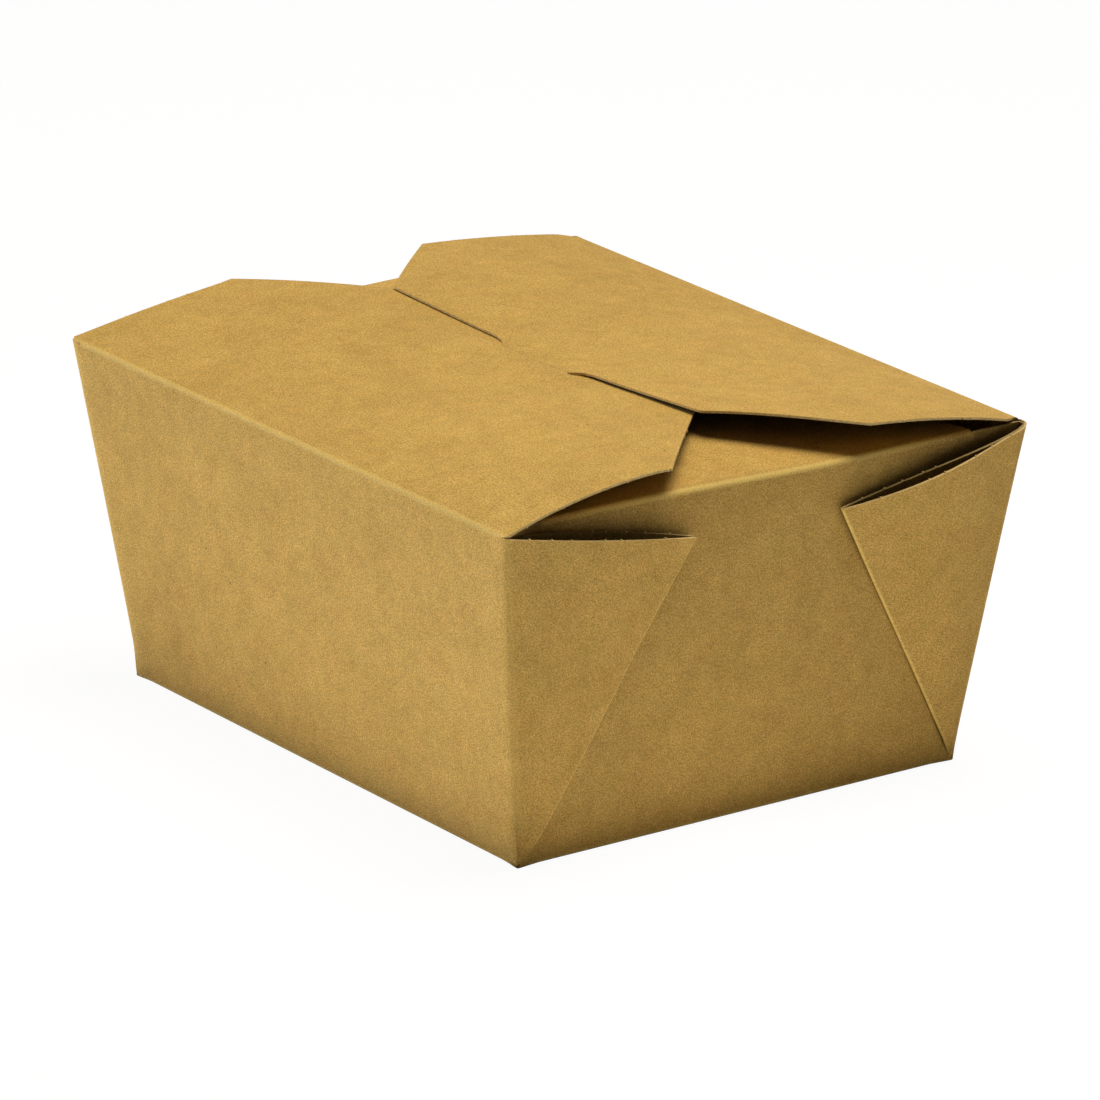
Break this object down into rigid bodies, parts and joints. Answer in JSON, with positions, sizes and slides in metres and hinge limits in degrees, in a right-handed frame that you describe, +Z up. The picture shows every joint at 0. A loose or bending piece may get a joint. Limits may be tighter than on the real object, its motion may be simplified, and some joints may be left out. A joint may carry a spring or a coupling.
{
  "type": "takeaway box",
  "caption": "Closed takeaway box of folded kraft board, with leaning walls, folded web corners and arched flaps locked by a tongue in a slit.",
  "frame": {"origin": "centre of the box's outline seen from above, at the surface it stands on", "axes": "+X along the length, towards the end where the closed flaps stand a little higher; +Y across, towards the long wall that carries the locking flap; +Z up"},
  "size_m": [0.1338, 0.107, 0.0672],
  "materials": {
    "kraft_board": "matt uncoated"
  },
  "bodies": {
    "carton": {"carton": "kraft_board"},
    "back_flap": {"back_flap": "kraft_board"}
  },
  "joints": [
    {"name": "back_flap_hinge", "type": "hinge", "parent": "carton", "child": "back_flap", "pos_m": [0, 0.05315, 0.0606], "axis": [-1, 0, 0], "range_deg": [0, 200]}
  ]
}
